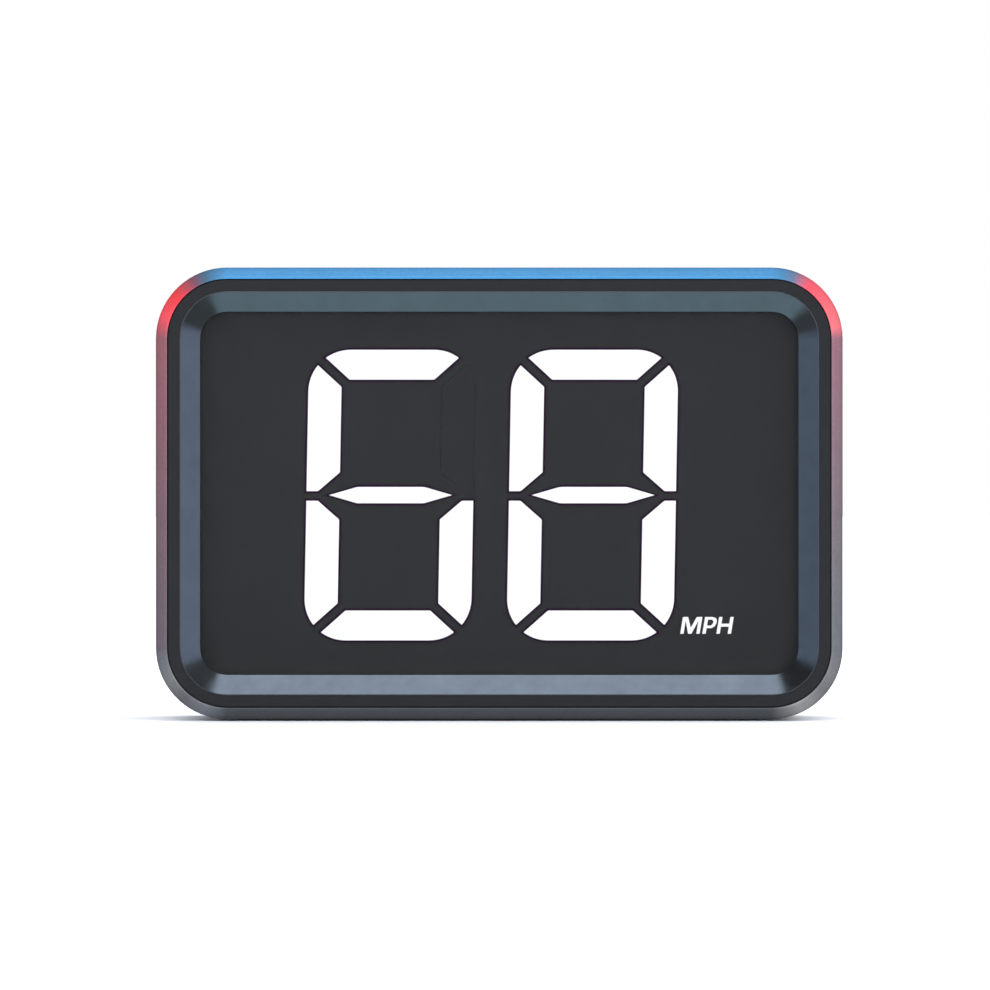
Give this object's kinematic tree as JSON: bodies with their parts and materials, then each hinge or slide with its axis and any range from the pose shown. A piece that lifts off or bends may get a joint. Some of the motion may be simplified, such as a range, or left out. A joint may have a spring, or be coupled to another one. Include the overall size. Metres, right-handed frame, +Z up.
{
  "type": "solar speed display",
  "caption": "Rounded tablet with a lit segment speed readout behind a window, a solar panel, push buttons and a charging port behind; stands on its lower edge.",
  "frame": {"origin": "middle of the footprint, on the surface that the grip pad stands on", "axes": "+X to the right seen from the front, +Y from the display to the solar panel, +Z up"},
  "size_m": [0.08, 0.018, 0.0528],
  "materials": {
    "band": "bead-blasted and anodised, fading from blue at the top to grey",
    "bezel": "fine satin black",
    "trim": "gunmetal, fine sandblast",
    "lens": "clear, polished",
    "mask": "charcoal ink on film",
    "lit": "milky diffuser, lit from behind",
    "unlit": "smoked diffuser, off",
    "reflector": "white, glossy",
    "circuit_board": "solder mask",
    "chip": "moulded epoxy",
    "shield": "tinned shield",
    "steel": "zinc plated",
    "black_screw": "black oxide",
    "brass": "knurled brass",
    "ceramic": "fired ceramic",
    "led": "phosphor gel",
    "cover": "fine moulded texture",
    "button": "satin",
    "plunger": "nylon",
    "flap": "matt silicone",
    "pad": "soft grip",
    "seal": "closed-cell",
    "tape": "foam tape",
    "battery": "laminated pouch",
    "wire": "silicone insulation",
    "solar_cell": "monocrystalline silicon",
    "solar_backing": "black solder mask",
    "ribbon": "tinned copper",
    "glaze": "clear epoxy"
  },
  "bodies": {
    "case": {"battery_cell": "battery", "battery_connector": "plunger", "battery_leads": "wire", "battery_tape": "tape", "board_connector": "chip", "brass_inserts": "brass", "buzzer": "chip", "case_seal": "seal", "chip_parts": "ceramic", "display_board": "circuit_board", "display_board_screws": "steel", "driver_chip": "chip", "flap_anchor": "flap", "front_housing": "bezel", "gps_antenna": "ceramic", "gps_receiver": "shield", "grip_pad": "pad", "lens_tape": "tape", "main_board": "circuit_board", "main_board_screws": "steel", "microcontroller": "chip", "mode_switch": "chip", "motion_sensor": "chip", "power_switch": "chip", "rear_cover": "cover", "rear_screws": "black_screw", "reflector_block": "reflector", "screen_trim": "trim", "segment_leds": "led", "segment_mask": "mask", "side_band": "band", "solar_board": "solar_backing", "solar_cells": "solar_cell", "solar_glaze": "glaze", "solar_leads": "wire", "solar_ribbons": "ribbon", "solar_tape": "tape", "tens_segment_a": "lit", "tens_segment_b": "unlit", "tens_segment_c": "lit", "tens_segment_d": "lit", "tens_segment_e": "lit", "tens_segment_f": "lit", "tens_segment_g": "lit", "unit_legend": "lit", "units_segment_a": "lit", "units_segment_b": "lit", "units_segment_c": "lit", "units_segment_d": "lit", "units_segment_e": "lit", "units_segment_f": "lit", "units_segment_g": "lit", "usb_receptacle": "shield", "window_lens": "lens"},
    "power_key": {"power_button": "button", "power_plunger": "plunger"},
    "mode_key": {"mode_button": "button", "mode_plunger": "plunger"},
    "charge_flap": {"port_flap": "flap"}
  },
  "joints": [
    {"name": "power_press", "type": "slide", "parent": "case", "child": "power_key", "axis": [0, -1, 0], "range_m": [0, 0.0003], "stiffness_N_per_m": 600, "springref_m": -0.0008},
    {"name": "mode_press", "type": "slide", "parent": "case", "child": "mode_key", "axis": [0, -1, 0], "range_m": [0, 0.0003], "stiffness_N_per_m": 600, "springref_m": -0.0008},
    {"name": "flap_hinge", "type": "hinge", "parent": "case", "child": "charge_flap", "pos_m": [-0.026, 0.00845, 0.0108], "axis": [0, 0, 1], "range_deg": [0, 110]}
  ]
}
